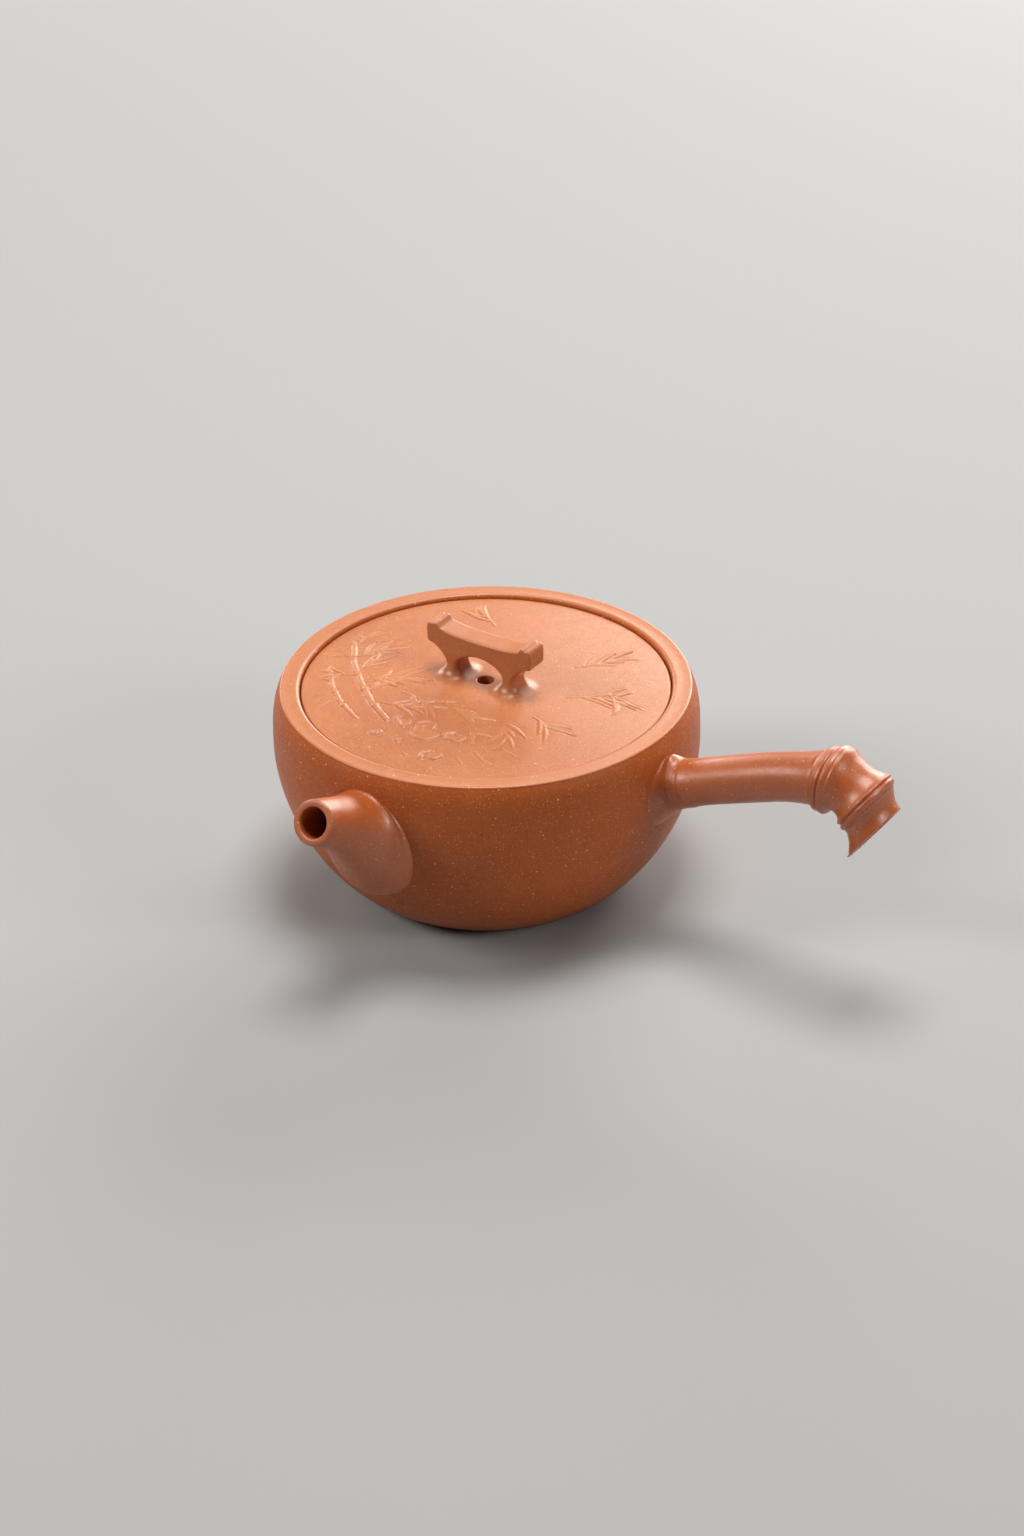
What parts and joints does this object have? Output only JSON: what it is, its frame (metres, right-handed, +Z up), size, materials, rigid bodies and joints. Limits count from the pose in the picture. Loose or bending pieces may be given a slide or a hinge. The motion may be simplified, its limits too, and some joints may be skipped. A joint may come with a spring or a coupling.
{
  "type": "side-handled clay teapot",
  "caption": "Low round clay teapot with a flush lift-off lid, bridge knob, short trumpet spout and a hollow bamboo-joint side handle a quarter turn from the spout.",
  "frame": {"origin": "centre of the flat base, on the surface the pot stands on", "axes": "+Z up through the lid's centre; +X along the side handle; -Y towards the spout's mouth"},
  "size_m": [0.1462, 0.111, 0.0579],
  "materials": {
    "clay_wall": "satin",
    "clay_band": "satin",
    "clay_lid": "satin",
    "clay_slip": "satin",
    "clay_under": "matte"
  },
  "bodies": {
    "pot": {"body_wall": "clay_wall", "base_disc": "clay_under", "rim_band": "clay_band", "lid_seat": "clay_band", "spout": "clay_wall", "spout_strainer": "clay_under", "handle_root_collar": "clay_wall", "handle_shank": "clay_wall", "handle_inner_joint": "clay_wall", "handle_middle": "clay_wall", "handle_outer_joint": "clay_wall", "handle_end": "clay_wall"},
    "lid_carrier": {"lid_slip_bead": "clay_slip"},
    "lid": {"lid_disc": "clay_lid", "lid_locating_ring": "clay_under", "lid_knob": "clay_lid", "knob_left_foot_slip": "clay_slip", "knob_right_foot_slip": "clay_slip"}
  },
  "joints": [
    {"name": "lid_lift", "type": "slide", "parent": "pot", "child": "lid_carrier", "axis": [0, 0, 1], "range_m": [0, 0.06]},
    {"name": "lid_turn", "type": "hinge", "parent": "lid_carrier", "child": "lid", "pos_m": [0, 0, 0.042], "axis": [0, 0, 1], "continuous": true}
  ]
}
